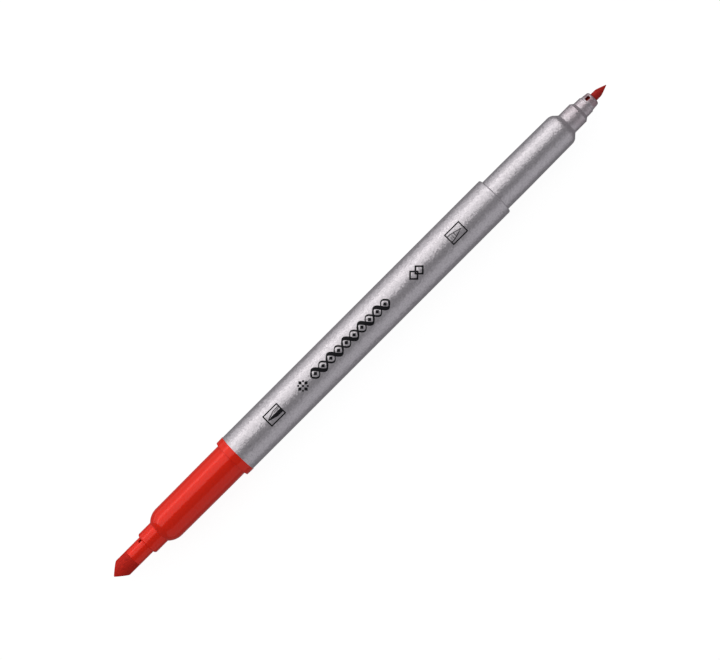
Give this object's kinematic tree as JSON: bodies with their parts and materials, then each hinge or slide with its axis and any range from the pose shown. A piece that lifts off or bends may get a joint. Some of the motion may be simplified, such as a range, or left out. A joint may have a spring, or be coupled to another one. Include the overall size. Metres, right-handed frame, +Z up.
{
  "type": "calligraphy marker",
  "caption": "Slim double-ended felt marker, uncapped: a silver tube barrel with a broad chisel nib on a red section at one end and a narrow chisel nib at the other.",
  "frame": {"origin": "middle of the marker's length, at the lowest line of the collar, where it rests on a flat surface", "axes": "+X along the marker towards the slim nib, -X towards the broad nib, +Z up through the printed side"},
  "size_m": [0.1596, 0.0102, 0.0102],
  "materials": {
    "barrel_silver": "silver pearl moulded polypropylene, fine sparkle",
    "section_silver": "silver pearl moulded polypropylene, fine sparkle",
    "section_red": "smooth glossy red polypropylene",
    "broad_holder_red": "smooth glossy red polypropylene",
    "fine_holder_grey": "silver grey plastic, slightly stained by ink",
    "broad_nib_felt": "bonded fibre soaked in red ink",
    "fine_nib_felt": "bonded fibre soaked in red ink",
    "core_fibre": "bonded polyester fibre soaked in red ink",
    "core_film": "thin clear plastic film"
  },
  "bodies": {
    "root": {"barrel": "barrel_silver", "broad_section": "section_red", "fine_section": "section_silver", "broad_nib_holder": "broad_holder_red", "fine_nib_holder": "fine_holder_grey", "broad_nib": "broad_nib_felt", "fine_nib": "fine_nib_felt", "ink_reservoir": "core_fibre", "reservoir_film": "core_film"}
  },
  "joints": []
}
